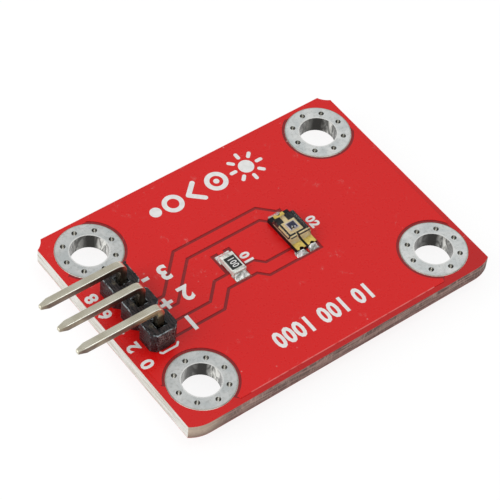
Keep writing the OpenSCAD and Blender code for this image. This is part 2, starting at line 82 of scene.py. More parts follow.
def readBoard():
    coreLow, coreHigh = nodeBox("substrate")
    copperLow, copperHigh = nodeBox("top_copper")
    top = nodeBox("top_mask")[1][2]
    copper = sized(copperHigh[2] - coreHigh[2])
    holes = next(mount["dims"] for mount in frame["record"]["mounts"] if mount["name"] == "mounting_holes")
    ringX, ringY = holes["spacing_x_mm"] / 2, holes["spacing_y_mm"] / 2
    return {
        "left": coreLow[0], "right": coreHigh[0], "near": coreLow[1], "far": coreHigh[1],
        "core": coreHigh[2], "copper": copper, "copperInset": sized(copperLow[0] - coreLow[0]),
        "top": top, "bare": sized(top - copper),  # the mask's top over copper and over the bare core
        "ringX": ringX, "ringY": ringY, "ringR": sized(nodeBox("mounting_ring_near_left")[1][0] + ringX),
    }


def readHeader():
    pinLow, pinHigh = nodeBox("header_pin_mid")
    return {
        "top": nodeBox("header_housing")[1][2], "pinHalf": sized((pinHigh[1] - pinLow[1]) / 2),
        "pitch": sized(pinLow[1] - nodeBox("header_pin_near")[0][1]),
    }


board = readBoard()
header = readHeader()


# Small hand tools

meshTidy = {"merge": 0.002, "flat": 1.5, "smooth": 38, "sharp": 32}  # mm, then degrees


def pickNothing():
    if bpy.context.mode != "OBJECT":
        bpy.ops.object.mode_set(mode="OBJECT")
    bpy.ops.object.select_all(action="DESELECT")


def pickOnly(piece):
    pickNothing()
    piece.select_set(True)
    bpy.context.view_layer.objects.active = piece


def editAll(piece):
    pickOnly(piece)
    bpy.ops.object.mode_set(mode="EDIT")
    bpy.ops.mesh.select_mode(type="VERT")
    bpy.ops.mesh.select_all(action="SELECT")


def editWhere(piece, wanted):  # wanted is asked of each corner's place, in mm
    pickOnly(piece)
    bpy.ops.object.mode_set(mode="EDIT")
    bpy.ops.mesh.select_mode(type="VERT")
    bpy.ops.mesh.select_all(action="DESELECT")
    bpy.ops.object.mode_set(mode="OBJECT")
    for corner in piece.data.vertices:
        corner.select = bool(wanted(piece.matrix_world @ corner.co / mm))
    bpy.ops.object.mode_set(mode="EDIT")


def doneEditing():
    bpy.ops.object.mode_set(mode="OBJECT")


def nameIt(piece, name):
    piece.name = name
    piece.data.name = name
    return piece


def newBox(name, low, high):  # low and high corner in mm
    pickNothing()
    middle = [(a + b) / 2 * mm for a, b in zip(low, high)]
    bpy.ops.mesh.primitive_cube_add(size=1, location=middle)
    piece = nameIt(bpy.context.object, name)
    piece.scale = [(b - a) * mm for a, b in zip(low, high)]
    bpy.ops.object.transform_apply(location=True, rotation=True, scale=True)
    return piece


def copyOfNode(nodeName, name):  # a merged copy of a CAD node, to be shaped further
    pickOnly(frame["nodes"][nodeName])
    bpy.ops.object.duplicate()
    piece = nameIt(bpy.context.object, name)
    piece.parent = None
    for key in list(piece.keys()):
        del piece[key]
    editAll(piece)
    bpy.ops.mesh.remove_doubles(threshold=meshTidy["merge"] * mm)
    bpy.ops.mesh.dissolve_limited(angle_limit=math.radians(meshTidy["flat"]))
    doneEditing()
    return piece


def applied(piece, kind, **values):  # adds a modifier with these values and applies it
    pickOnly(piece)
    modifier = piece.modifiers.new(kind.lower(), kind)
    for key, value in values.items():
        setattr(modifier, key, value)
    bpy.ops.object.modifier_apply(modifier=modifier.name)
    return piece


def roundEdges(piece, width, segments=2, finish=-1):
    return applied(piece, "BEVEL", width=width * mm, segments=segments, limit_method="ANGLE",
                   angle_limit=math.radians(meshTidy["sharp"]), use_clamp_overlap=True, material=finish)


def finishPiece(piece, material, replaced=(), smooth=meshTidy["smooth"]):
    pickOnly(piece)
    bpy.ops.object.transform_apply(location=True, rotation=True, scale=True)
    bpy.ops.object.shade_smooth_by_angle(angle=math.radians(smooth))
    if material:  # a piece with two finishes has them already
        piece.data.materials.clear()
        piece.data.materials.append(material)
    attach(piece, "root")
    if replaced:
        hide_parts(*replaced)
    return piece


def dress(material, *nodeNames):  # a CAD node keeps its shape and gets this finish
    for nodeName in nodeNames:
        for place in frame["nodes"][nodeName].material_slots:
            place.material = material


# Camera: the photograph's own place, found from the board's corners and rings

cameraSetup = {
    "place": (-73.514, -81.550, 135.473), "aim": (-0.878, 0.552, 1.54), "roll": 6.04, "lens": 154.08,
}


def makeCamera():
    data = bpy.data.cameras.new("photoCamera")
    data.lens = cameraSetup["lens"]
    data.sensor_width = 36
    data.clip_start = 0.01
    data.clip_end = 10
    camera = bpy.data.objects.new("photoCamera", data)
    bpy.context.scene.collection.objects.link(camera)
    place = Vector(cameraSetup["place"]) * mm
    look = Vector(cameraSetup["aim"]) * mm - place
    turn = look.to_track_quat("-Z", "Y").to_matrix().to_4x4()
    roll = Matrix.Rotation(math.radians(cameraSetup["roll"]), 4, "Z")
    camera.matrix_world = Matrix.Translation(place) @ turn @ roll
    bpy.context.scene.camera = camera


makeCamera()
bpy.context.scene.view_settings.view_transform = "Standard"
print("camera placed")


# Material helpers

def shade(red, green, blue):  # a colour as seen on a screen, 0 to 255
    def straight(value):
        value /= 255
        return value / 12.92 if value <= 0.04045 else ((value + 0.055) / 1.055) ** 2.4
    return (straight(red), straight(green), straight(blue), 1)


def addNode(tree, kind, inputs=None, **values):
    node = tree.nodes.new(kind)
    for key, value in values.items():
        setattr(node, key, value)
    for key, value in (inputs or {}).items():
        if isinstance(value, bpy.types.NodeSocket):
            tree.links.new(value, node.inputs[key])
        else:
            node.inputs[key].default_value = value
    return node


def maths(tree, operation, first, second=0.0, clamp=False):
    return addNode(tree, "ShaderNodeMath", {0: first, 1: second},
                   operation=operation, use_clamp=clamp).outputs[0]


def times(tree, *values):
    result = values[0]
    for value in values[1:]:
        result = maths(tree, "MULTIPLY", result, value)
    return result


def distance(tree, value, middle):  # how far a value lies from this one, without its sign
    return maths(tree, "ABSOLUTE", maths(tree, "SUBTRACT", value, middle))


def blended(tree, amount, first, second):  # mixes two colours
    return addNode(tree, "ShaderNodeMix", {0: amount, 6: first, 7: second}, data_type="RGBA").outputs[2]


def ramp(tree, value, low, high, toLow=0.0, toHigh=1.0):  # held at both ends
    return addNode(tree, "ShaderNodeMapRange",
                   {0: value, 1: low, 2: high, 3: toLow, 4: toHigh}, clamp=True).outputs[0]


def facingParts(tree, place):  # the way a face looks, as its three parts
    return addNode(tree, "ShaderNodeSeparateXYZ", {0: place["Facing"]}).outputs


def facingAlong(tree, place, way):  # how much a face looks this way
    return addNode(tree, "ShaderNodeVectorMath", {0: place["Facing"], 1: way},
                   operation="DOT_PRODUCT").outputs["Value"]


def across(tree, place):  # the place within one cell of the header, from 0 to the pitch
    return maths(tree, "FLOORED_MODULO", maths(tree, "ADD", place["Y"], header["pitch"] / 2), header["pitch"])


def newGroup(name, inputs, outputs):
    group = bpy.data.node_groups.new(name, "ShaderNodeTree")
    for label, kind, value in inputs:
        socket = group.interface.new_socket(label, in_out="INPUT", socket_type=kind)
        socket.default_value = value
    for label, kind in outputs:
        group.interface.new_socket(label, in_out="OUTPUT", socket_type=kind)
    return group, group.nodes.new("NodeGroupInput"), group.nodes.new("NodeGroupOutput")


def makePlaceGroup():  # the spot on the part, in mm, and the way its face looks
    group, _, result = newGroup("placeInMillimetres", [],
                                [("Place", "NodeSocketVector"), ("X", "NodeSocketFloat"),
                                 ("Y", "NodeSocketFloat"), ("Z", "NodeSocketFloat"),
                                 ("Facing", "NodeSocketVector")])
    coords = addNode(group, "ShaderNodeTexCoord")
    scaled = addNode(group, "ShaderNodeVectorMath", {0: coords.outputs["Object"], 1: [1 / mm] * 3},
                     operation="MULTIPLY").outputs[0]
    parts = addNode(group, "ShaderNodeSeparateXYZ", {0: scaled})
    group.links.new(scaled, result.inputs["Place"])
    for axis in "XYZ":
        group.links.new(parts.outputs[axis], result.inputs[axis])
    group.links.new(coords.outputs["Normal"], result.inputs["Facing"])
    return group


placeGroup = makePlaceGroup()


def placeOf(tree):
    node = tree.nodes.new("ShaderNodeGroup")
    node.node_tree = placeGroup
    return node.outputs


def makeGrainGroup():  # uneven cloud, drawn out by Stretch, with a finer one on top
    group, given, result = newGroup("grain", [("Stretch", "NodeSocketVector", (1, 1, 1)),
                                              ("Detail", "NodeSocketFloat", 4.0),
                                              ("Warp", "NodeSocketFloat", 0.0)],
                                    [("Mask", "NodeSocketFloat"), ("Fine", "NodeSocketFloat")])
    place = placeOf(group)["Place"]
    drawn = addNode(group, "ShaderNodeVectorMath", {0: place, 1: given.outputs["Stretch"]},
                    operation="MULTIPLY").outputs[0]
    broad = addNode(group, "ShaderNodeTexNoise", {"Vector": drawn, "Scale": 1,
                                                  "Detail": given.outputs["Detail"],
                                                  "Distortion": given.outputs["Warp"]})
    finer = addNode(group, "ShaderNodeTexNoise", {"Vector": drawn, "Scale": 5.3, "Detail": 3})
    group.links.new(broad.outputs[0], result.inputs["Mask"])
    group.links.new(finer.outputs[0], result.inputs["Fine"])
    return group


grainGroup = makeGrainGroup()


def grain(tree, stretch, detail=4.0, warp=0.0):
    node = tree.nodes.new("ShaderNodeGroup")
    node.node_tree = grainGroup
    node.inputs["Stretch"].default_value = stretch
    node.inputs["Detail"].default_value = detail
    node.inputs["Warp"].default_value = warp
    return node.outputs


def makeSpeckGroup():  # scattered tiny dots: Often is how many cells hold one
    group, given, result = newGroup("specks", [("Cells", "NodeSocketFloat", 1.0),
                                               ("Radius", "NodeSocketFloat", 0.05),
                                               ("Often", "NodeSocketFloat", 0.3)],
                                    [("Mask", "NodeSocketFloat")])
    place = placeOf(group)["Place"]
    cells = addNode(group, "ShaderNodeTexVoronoi", {"Vector": place, "Scale": given.outputs["Cells"]})
    chance = addNode(group, "ShaderNodeSeparateColor", {0: cells.outputs["Color"]}).outputs[0]
    chosen = maths(group, "LESS_THAN", chance, given.outputs["Often"])
    reach = maths(group, "MULTIPLY", given.outputs["Radius"], given.outputs["Cells"])
    dot = maths(group, "SUBTRACT", 1.0, maths(group, "DIVIDE", cells.outputs["Distance"], reach), clamp=True)
    group.links.new(maths(group, "MULTIPLY", dot, chosen), result.inputs["Mask"])
    return group


speckGroup = makeSpeckGroup()


def specks(tree, cells, radius, often):
    node = tree.nodes.new("ShaderNodeGroup")
    node.node_tree = speckGroup
    node.inputs["Cells"].default_value = cells
    node.inputs["Radius"].default_value = radius
    node.inputs["Often"].default_value = often
    return node.outputs["Mask"]


def newFinish(name, roughness=0.5, metallic=0.0, **plain):
    material = bpy.data.materials.new(name)
    material.use_nodes = True
    tree = material.node_tree
    shader = tree.nodes["Principled BSDF"]
    shader.inputs["Roughness"].default_value = roughness
    shader.inputs["Metallic"].default_value = metallic
    for key, value in plain.items():
        shader.inputs[key].default_value = value
    return material, tree, shader


def relief(tree, shader, height, depth):  # depth in mm
    bump = addNode(tree, "ShaderNodeBump", {"Height": height, "Strength": 1.0, "Distance": depth * mm})
    tree.links.new(bump.outputs[0], shader.inputs["Normal"])


# Finishes. A grain is its stretch, detail and warp. A fade starts, ends, and has its two amounts after that

grainSpread = (0.3, 0.7)  # nearly all of a grain's values lie between these


def paint(tree, shader, colour):
    tree.links.new(colour, shader.inputs["Base Color"])


def roughen(tree, shader, mask, smooth, rough):  # roughness wanders between the two
    tree.links.new(ramp(tree, mask, *grainSpread, smooth, rough), shader.inputs["Roughness"])


maskLook = {
    "overCopper": shade(219, 10, 9), "overBare": shade(132, 20, 24), "stepFade": (0.3, 0.8),
    "marginShaded": shade(188, 12, 13), "marginLit": shade(217, 12, 10), "marginSlack": 0.05, "pastRing": 1.6,
    "lightY": (-10, 2), "lightX": (-8, -12, 0.0, 0.8),
    "paintedEdgeHighlight": shade(250, 150, 146), "gleam": 0.62, "gleamEnds": 9.2, "gleamFade": (0.02, 0.06, 1.0, 0.0),
    "gleamMottle": ((1.2, 1.2, 1.2), 3), "gleamMottleFade": (0.3, 0.5),
    "cloud": shade(228, 30, 26), "clouds": ((0.16, 0.16, 0.16), 3), "cloudAmount": (0.0, 0.1),
    "dust": shade(230, 190, 185), "dustSpecks": (0.8, 0.09, 0.2), "dustAmount": 0.8,
    "scratches": ((0.9, 0.9, 0.9), 3, 0.6), "scratchFade": (0.001, 0.004, 0.45, 0.0),
    "scratched": ((0.7, 0.7, 1.7), 2), "scratchedFade": (0.62, 0.66),
    "polish": ((2.2, 2.2, 2.2), 3), "roughness": (0.24, 0.36), "waves": 0.002,
}


def marginOf(tree, place):  # the bare border of the board and its corners past the rings
    inset = board["copperInset"] + maskLook["marginSlack"]
    past = []
    for axis, low, high in (("X", board["left"], board["right"]), ("Y", board["near"], board["far"])):
        past.append(maths(tree, "GREATER_THAN", distance(tree, place[axis], (low + high) / 2),
                          (high - low) / 2 - inset))
    towardCorner = maths(tree, "ADD", distance(tree, place["X"], 0), distance(tree, place["Y"], 0))
    ringCorner = board["ringX"] + board["ringY"] + maskLook["pastRing"]
    pastRing = maths(tree, "GREATER_THAN", towardCorner, ringCorner)
    return maths(tree, "MAXIMUM", maths(tree, "MAXIMUM", *past), pastRing)


def makeMaskFinish(name, copperAt, bareAt):
    look = maskLook
    material, tree, shader = newFinish(name)
    place = placeOf(tree)
    raised = ramp(tree, place["Z"], *(bareAt + (copperAt - bareAt) * share for share in look["stepFade"]))
    # painted light and shade: the bare margin is painted darker on the near side and lighter toward the far
    # side and the left end
    lightward = maths(tree, "MAXIMUM", ramp(tree, place["Y"], *look["lightY"]),
                      ramp(tree, place["X"], *look["lightX"]))
    marginColour = blended(tree, lightward, look["marginShaded"], look["marginLit"])
    low = blended(tree, marginOf(tree, place), look["overBare"], marginColour)
    colour = blended(tree, raised, low, look["overCopper"])
    # painted highlight: a pale line along the step at the near edge of the copper, broken up by a mottled
    # grain
    mottled = ramp(tree, grain(tree, *look["gleamMottle"])["Mask"], *look["gleamMottleFade"])
    fromStep = distance(tree, place["Y"], board["near"] + board["copperInset"])
    clearOfRing = maths(tree, "LESS_THAN", distance(tree, place["X"], 0), look["gleamEnds"])
    gleam = times(tree, ramp(tree, fromStep, *look["gleamFade"]), mottled, clearOfRing, look["gleam"])
    colour = blended(tree, gleam, colour, look["paintedEdgeHighlight"])
    cloud = grain(tree, *look["clouds"])
    clouded = ramp(tree, cloud["Mask"], *grainSpread, *look["cloudAmount"])
    colour = blended(tree, clouded, colour, look["cloud"])
    dust = times(tree, specks(tree, *look["dustSpecks"]), look["dustAmount"])
    colour = blended(tree, dust, colour, look["dust"])
    line = distance(tree, grain(tree, *look["scratches"])["Mask"], 0.5)
    scratch = times(tree, ramp(tree, line, *look["scratchFade"]),
                    ramp(tree, grain(tree, *look["scratched"])["Mask"], *look["scratchedFade"]))
    paint(tree, shader, blended(tree, scratch, colour, look["dust"]))
    roughen(tree, shader, grain(tree, *look["polish"])["Mask"], *look["roughness"])
    relief(tree, shader, cloud["Fine"], look["waves"])
    return material


laminateLook = {
    "snapped": shade(236, 234, 228), "snappedFibre": shade(196, 188, 172), "snappedFade": (0.42, 0.7),
    "routed": shade(166, 134, 124), "routedFibre": shade(96, 70, 62), "routedFade": (0.42, 0.57),
    "routedPale": shade(200, 170, 156), "paleFade": (0.5, 0.72, 0.0, 0.6), "paleX": (-5, -12, 0.0, 0.2),
    "corner": shade(222, 204, 180), "cornerHighlightX": (-11.6, -13.8, 0.0, 0.6),
    "foot": shade(108, 66, 60), "footZ": (0.15, 0.8, 0.6, 0.0), "longSide": (0.35, 0.8),
    "layers": ((0.5, 0.5, 7.0), 5, 0.3), "fibres": ((5.0, 5.0, 1.2), 4, 0.6),
    "roughness": 0.7, "layerShare": 0.6, "weave": 0.05,
}


def makeLaminateFinish():  # painted light and shade: ends painted pale as lit, long sides a darker brown as shaded and paler toward the left end
    look = laminateLook
    material, tree, shader = newFinish("laminate", look["roughness"])
    place = placeOf(tree)
    longSide = ramp(tree, distance(tree, facingParts(tree, place)["Y"], 0), *look["longSide"])
    layers = grain(tree, *look["layers"])
    fibres = grain(tree, *look["fibres"])
    pale = blended(tree, ramp(tree, layers["Mask"], *look["snappedFade"]),
                   look["snapped"], look["snappedFibre"])
    shadedLongSides = blended(tree, ramp(tree, layers["Mask"], *look["routedFade"]),
                    look["routed"], look["routedFibre"])
    shadedLongSides = blended(tree, ramp(tree, fibres["Mask"], *look["paleFade"]), shadedLongSides, look["routedPale"])
    shadedLongSides = blended(tree, ramp(tree, place["X"], *look["paleX"]), shadedLongSides, look["routedPale"])
    # painted highlight on the rounded left corner of the long sides
    shadedLongSides = blended(tree, ramp(tree, place["X"], *look["cornerHighlightX"]), shadedLongSides, look["corner"])
    colour = blended(tree, longSide, pale, shadedLongSides)
    foot = times(tree, ramp(tree, place["Z"], *look["footZ"]), longSide)
    paint(tree, shader, blended(tree, foot, colour, look["foot"]))
    height = maths(tree, "ADD", fibres["Mask"], times(tree, layers["Fine"], look["layerShare"]))
    relief(tree, shader, height, look["weave"])
    return material


tinLook = {
    "face": shade(246, 248, 246), "cloud": shade(220, 226, 226), "clouds": ((0.9, 0.9, 0.9), 4, 0.4),
    "cloudFade": (0.35, 0.65), "grit": shade(176, 176, 170), "grits": ((5, 5, 5), 4),
    "gritFade": (0.5, 0.72, 0.0, 0.4), "shaded": shade(128, 130, 128), "shadedX": (-10, 12, 0.2, 0.0),
    "rim": shade(150, 142, 116), "rimWidth": 0.1, "rimAmount": 0.6,
    "lipHighlight": shade(255, 255, 252), "lipHighlightR": (1.66, 1.74, 1.0, 0.0), "lipHighlightFade": (0.35, 0.6, 0.2, 1.0),
    "via": shade(92, 89, 82), "viaBright": shade(252, 252, 246), "viaGlintStripe": (0.72, 0.84),
    "toCamera": (-0.669, -0.743, 0), "toLeft": (-0.743, 0.669, 0), "wall": (0.3, 0.7, 1.0, 0.0),
    "scuffs": ((1.4, 6.0, 3.0), 5, 0.5), "roughness": (0.26, 0.46), "metal": 0.75,
    "wallPolish": 0.2, "stripePolish": 0.24, "cloudShare": 3.0, "lumps": 0.006,
}
barrelLook = {
    "dark": shade(46, 45, 42), "bright": shade(240, 240, 234), "ends": 1.75, "left": (0.12, 0.6, 0.0, 0.9),
    "right": (-0.25, -0.7, 0.0, 0.24), "farthest": (0.72, 0.92, 1.0, 0.3), "dimX": (5, 8, 1.0, 0.62),
    "patches": ((1.9, 1.9, 0.7), 5, 1.4), "uneven": (0.4, 0.62, 0.25, 1.6),
}


def barrelPaintedLight(tree, place):  # painted light and shade: bright where the hole's wall looks left, dark where it looks at us, dimmer on the right
    look = barrelLook
    sideways = facingAlong(tree, place, tinLook["toLeft"])
    lit = maths(tree, "MAXIMUM", ramp(tree, sideways, *look["left"]), ramp(tree, sideways, *look["right"]))
    lit = times(tree, lit, ramp(tree, sideways, *look["farthest"]), ramp(tree, place["X"], *look["dimX"]))
    uneven = ramp(tree, grain(tree, *look["patches"])["Mask"], *look["uneven"])
    return blended(tree, maths(tree, "MULTIPLY", lit, uneven, clamp=True), look["dark"], look["bright"])


def makeTinFinish():
    look = tinLook
    material, tree, shader = newFinish("tinPlating", metallic=look["metal"])
    place = placeOf(tree)
    away = [maths(tree, "SUBTRACT", distance(tree, place[axis], 0), board["ring" + axis]) for axis in "XY"]
    away = maths(tree, "SQRT", maths(tree, "ADD", *(times(tree, part, part) for part in away)))
    cloud = grain(tree, *look["clouds"])
    colour = blended(tree, ramp(tree, cloud["Mask"], *look["cloudFade"]), look["face"], look["cloud"])
    grit = grain(tree, *look["grits"])
    colour = blended(tree, ramp(tree, grit["Mask"], *look["gritFade"]), colour, look["grit"])
    colour = blended(tree, ramp(tree, place["X"], *look["shadedX"]), colour, look["shaded"])
    atRim = ramp(tree, away, board["ringR"] - look["rimWidth"], board["ringR"])
    colour = blended(tree, times(tree, atRim, look["rimAmount"]), colour, look["rim"])
    # painted highlight: a bright lip round the edge of the hole
    lipHighlight = times(tree, ramp(tree, away, *look["lipHighlightR"]), ramp(tree, grit["Fine"], *look["lipHighlightFade"]))
    colour = blended(tree, lipHighlight, colour, look["lipHighlight"])
    wall = ramp(tree, distance(tree, facingParts(tree, place)["Z"], 0), *look["wall"])
    # painted shade and painted glint: the vias' walls are painted dark, with a bright stripe where they face
    # the camera
    viaGlintStripe = ramp(tree, distance(tree, facingAlong(tree, place, look["toCamera"]), 0), *look["viaGlintStripe"])
    via = blended(tree, viaGlintStripe, look["via"], look["viaBright"])
    inVia = maths(tree, "GREATER_THAN", away, barrelLook["ends"])
    paint(tree, shader, blended(tree, wall, colour, blended(tree, inVia, barrelPaintedLight(tree, place), via)))
    scuff = grain(tree, *look["scuffs"])
    rough = ramp(tree, scuff["Mask"], *grainSpread, *look["roughness"])
    polish = maths(tree, "ADD", look["wallPolish"], times(tree, viaGlintStripe, look["stripePolish"]))
    tree.links.new(maths(tree, "SUBTRACT", rough, times(tree, wall, polish), clamp=True),
                   shader.inputs["Roughness"])
    height = maths(tree, "ADD", scuff["Fine"], times(tree, cloud["Mask"], look["cloudShare"]))
    relief(tree, shader, height, look["lumps"])
    return material


plasticLook = {
    "black": shade(8, 10, 15), "shine": 0.3, "roughness": (0.16, 0.5), "lumps": 0.05,
    "mottled": shade(34, 38, 46), "clouds": ((1.6, 1.6, 1.6), 5, 0.8), "wornFade": (0.5, 0.75, 0.0, 0.7),
    "scratch": shade(146, 124, 120), "scuffs": ((9.0, 2.0, 6.0), 4, 0.5), "scratchFade": (0.42, 0.6),
    "nearEnd": (-0.9, -0.98), "scratchDepth": (1.6, 0.8), "scratchAmount": (0.14, 0.75),
    "smudge": shade(104, 98, 84), "smudgeX": -12.9, "smudgeR": (0.12, 0.36, 1.0, 0.0),
    "smudgeFade": (0.38, 0.6),
}
edgeHighlightLook = {
    "edge": shade(178, 190, 194), "patches": ((2.6, 2.6, 2.6), 4, 0.6), "highlightFade": (0.46, 0.6),
    "depth": (0.25, 0.1), "amount": (0.2, 0.8), "roughness": 0.24, "shine": 0.4, "lumps": 0.03,
}


def underTop(depths):  # heights these depths below the housing's top
    return (header["top"] - depth for depth in depths)


def makePlasticFinish():
    look = plasticLook
    material, tree, shader = newFinish("headerPlastic", **{"Specular IOR Level": look["shine"]})
    place = placeOf(tree)
    cloud = grain(tree, *look["clouds"])
    scuffs = grain(tree, *look["scuffs"])
    colour = blended(tree, ramp(tree, cloud["Mask"], *look["wornFade"]), look["black"], look["mottled"])
    nearEnd = times(tree, ramp(tree, facingParts(tree, place)["Y"], *look["nearEnd"]),
                    ramp(tree, place["Z"], *underTop(look["scratchDepth"])))
    scratched = times(tree, ramp(tree, scuffs["Mask"], *look["scratchFade"]),
                      ramp(tree, nearEnd, 0, 1, *look["scratchAmount"]))
    colour = blended(tree, scratched, colour, look["scratch"])
    fromPin = maths(tree, "ADD", distance(tree, across(tree, place), header["pitch"] / 2),
                    distance(tree, place["X"], look["smudgeX"]))
    smudge = times(tree, ramp(tree, fromPin, *look["smudgeR"]),
                   ramp(tree, cloud["Fine"], *look["smudgeFade"]))
    paint(tree, shader, blended(tree, smudge, colour, look["smudge"]))
    roughen(tree, shader, scuffs["Mask"], *look["roughness"])
    relief(tree, shader, maths(tree, "ADD", cloud["Fine"], scuffs["Mask"]), look["lumps"])
    return material


def makeEdgeHighlightFinish():
    look = edgeHighlightLook
    material, tree, shader = newFinish("headerEdgeHighlight", look["roughness"],
                                       **{"Specular IOR Level": look["shine"]})
    patches = grain(tree, *look["patches"])
    # painted highlight: pale patches along the rounded top edges of the housing
    high = ramp(tree, placeOf(tree)["Z"], *underTop(look["depth"]), *look["amount"])
    bare = times(tree, ramp(tree, patches["Mask"], *look["highlightFade"]), high)
    paint(tree, shader, blended(tree, bare, plasticLook["black"], look["edge"]))
    relief(tree, shader, patches["Fine"], look["lumps"])
    return material


pinLook = {
    "drawn": shade(224, 220, 202), "pinShadedSide": shade(112, 94, 84), "side": (0.75, 0.97), "sideRough": 0.1,
    "tarnish": shade(182, 172, 146), "clouds": ((0.7, 0.7, 0.7), 4), "tarnishFade": (0.4, 0.75, 0.0, 0.6),
    "edge": shade(255, 255, 244), "edgeInset": 0.03, "edgeFade": (0.02, 0.05, 1.0, 0.0),
    "edgeUp": (0.2, 0.6), "edgeAmount": 0.8,
    "warmReflection": shade(255, 232, 176), "warmReflectionX": (-14.8, -13.6), "warmReflectionY": -2.5, "warmReflectionFade": (0.4, 0.6, 0.1, 0.9),
    "heelReflection": shade(244, 160, 126), "heelReflectionX": (-12.4, -11.9), "heelReflectionZ": (4.4, 5.1),
    "heelReflectionFade": (0.3, 0.6, 0.3, 0.9),
    "leg": shade(128, 112, 94), "legTop": (5.0, 4.6), "legFoot": (1.0, 1.4), "legAmount": 0.85,
    "lines": ((0.5, 11.0, 11.0), 5), "roughness": (0.2, 0.36), "grooves": 0.006,
}


def makePinFinish():  # painted light: lit faces and darker shaded sides, an edge highlight, a warm reflection near the near pin's end, a red reflection of the board on the heel and a leg painted darker as shaded
    look = pinLook
    material, tree, shader = newFinish("pinMetal", metallic=1.0)
    place = placeOf(tree)
    facing = facingParts(tree, place)
    # painted shade: the sides that look along Y are painted darker than the lit faces
    side = ramp(tree, distance(tree, facing["Y"], 0), *look["side"])
    lines = grain(tree, *look["lines"])
    cloud = grain(tree, *look["clouds"])
    colour = blended(tree, side, look["drawn"], look["pinShadedSide"])
    colour = blended(tree, ramp(tree, cloud["Mask"], *look["tarnishFade"]), colour, look["tarnish"])
    # painted highlight: a bright line along the near edge of each pin's upper face
    edge = header["pitch"] / 2 - header["pinHalf"] + look["edgeInset"]
    fromEdge = distance(tree, across(tree, place), edge)
    gleam = times(tree, ramp(tree, fromEdge, *look["edgeFade"]), ramp(tree, facing["Z"], *look["edgeUp"]),
                  look["edgeAmount"])
    colour = blended(tree, gleam, colour, look["edge"])
    # painted warm reflection on the near pin's side, near its end
    warmReflection = times(tree, ramp(tree, place["X"], *look["warmReflectionX"]),
                 maths(tree, "LESS_THAN", place["Y"], look["warmReflectionY"]),
                 side, ramp(tree, lines["Mask"], *look["warmReflectionFade"]))
    colour = blended(tree, warmReflection, colour, look["warmReflection"])
    # painted red reflection of the board on the heel of the bend
    heelReflection = times(tree, ramp(tree, place["X"], *look["heelReflectionX"]), ramp(tree, cloud["Mask"], *look["heelReflectionFade"]),
                 ramp(tree, place["Z"], *look["heelReflectionZ"]))
    colour = blended(tree, heelReflection, colour, look["heelReflection"])
    # painted shade: the leg between housing and board is painted darker, for the dark plastic it reflects
    leg = times(tree, ramp(tree, place["Z"], *look["legTop"]), ramp(tree, place["Z"], *look["legFoot"]),
                look["legAmount"])
    paint(tree, shader, blended(tree, leg, colour, look["leg"]))
    rough = ramp(tree, lines["Mask"], *grainSpread, *look["roughness"])
    tree.links.new(maths(tree, "ADD", rough, times(tree, side, look["sideRough"])),
                   shader.inputs["Roughness"])
    relief(tree, shader, lines["Mask"], look["grooves"])
    return material


solderLook = {
    "bright": shade(252, 252, 250), "dull": shade(150, 154, 148), "clouds": ((2.4, 2.4, 2.4), 4, 0.6),
    "fade": (0.42, 0.62), "metal": 0.55, "roughness": (0.12, 0.34), "lumps": 0.02,
}


def makeSolderFinish():
    look = solderLook
    material, tree, shader = newFinish("brightSolder", metallic=look["metal"])
    cloud = grain(tree, *look["clouds"])
    paint(tree, shader, blended(tree, ramp(tree, cloud["Mask"], *look["fade"]), look["bright"], look["dull"]))
    roughen(tree, shader, cloud["Fine"], *look["roughness"])
    relief(tree, shader, cloud["Fine"], look["lumps"])
    return material


capLook = {
    "bright": shade(244, 246, 240), "dull": shade(160, 162, 152), "clouds": ((3.0, 3.0, 3.0), 4, 0.6),
    "fade": (0.4, 0.7), "metal": 0.15, "roughness": 0.4, "lumps": 0.012,
}


def makeCapFinish():
    look = capLook
    material, tree, shader = newFinish("capTin", look["roughness"], look["metal"])
    cloud = grain(tree, *look["clouds"])
    paint(tree, shader, blended(tree, ramp(tree, cloud["Mask"], *look["fade"]), look["bright"], look["dull"]))
    relief(tree, shader, cloud["Fine"], look["lumps"])
    return material


giltLook = {
    "open": shade(248, 224, 122), "openDull": shade(210, 178, 90),
    "litUnderLens": shade(255, 242, 200), "litUnderLensDull": shade(255, 220, 150),
    "clouds": ((3.5, 3.5, 3.5), 4, 0.3), "fade": (0.35, 0.7),
    "metal": 0.6, "roughness": (0.3, 0.45), "lumps": 0.004,
}


def makeGiltFinish():  # painted light: a paler, lit copy under the clear block, standing in for the lamp light it keeps out
    look = giltLook
    material, tree, shader = newFinish("gilt", metallic=look["metal"])
    cloud = grain(tree, *look["clouds"])
    patchy = ramp(tree, cloud["Mask"], *look["fade"])
    placeY = placeOf(tree)["Y"]
    lensLow, lensHigh = nodeBox("sensor_lens")
    # painted light under the clear block
    litUnderLens = times(tree, maths(tree, "GREATER_THAN", placeY, lensLow[1]),
                 maths(tree, "LESS_THAN", placeY, lensHigh[1]))
    paint(tree, shader, blended(tree, litUnderLens, blended(tree, patchy, look["open"], look["openDull"]),
                                blended(tree, patchy, look["litUnderLens"], look["litUnderLensDull"])))
    roughen(tree, shader, cloud["Fine"], *look["roughness"])
    relief(tree, shader, cloud["Fine"], look["lumps"])
    return material


chipLook = {  # the pads' places are from the die's middle
    "border": 0.065, "blue": shade(30, 34, 84), "dark": shade(10, 12, 26), "clouds": ((3.0, 3.0, 3.0), 3),
    "fade": (0.4, 0.6), "rim": shade(226, 218, 226), "rimBlur": 0.015,
    "pads": [(-0.08, -0.10), (0.13, -0.20)], "padHalf": 0.055, "pad": shade(252, 250, 252),
    "roughness": 0.2, "lumps": 0.001,
}


def fromSpot(tree, place, x, y):  # the larger of the two distances, so its outlines are squares
    return maths(tree, "MAXIMUM", distance(tree, place["X"], x), distance(tree, place["Y"], y))


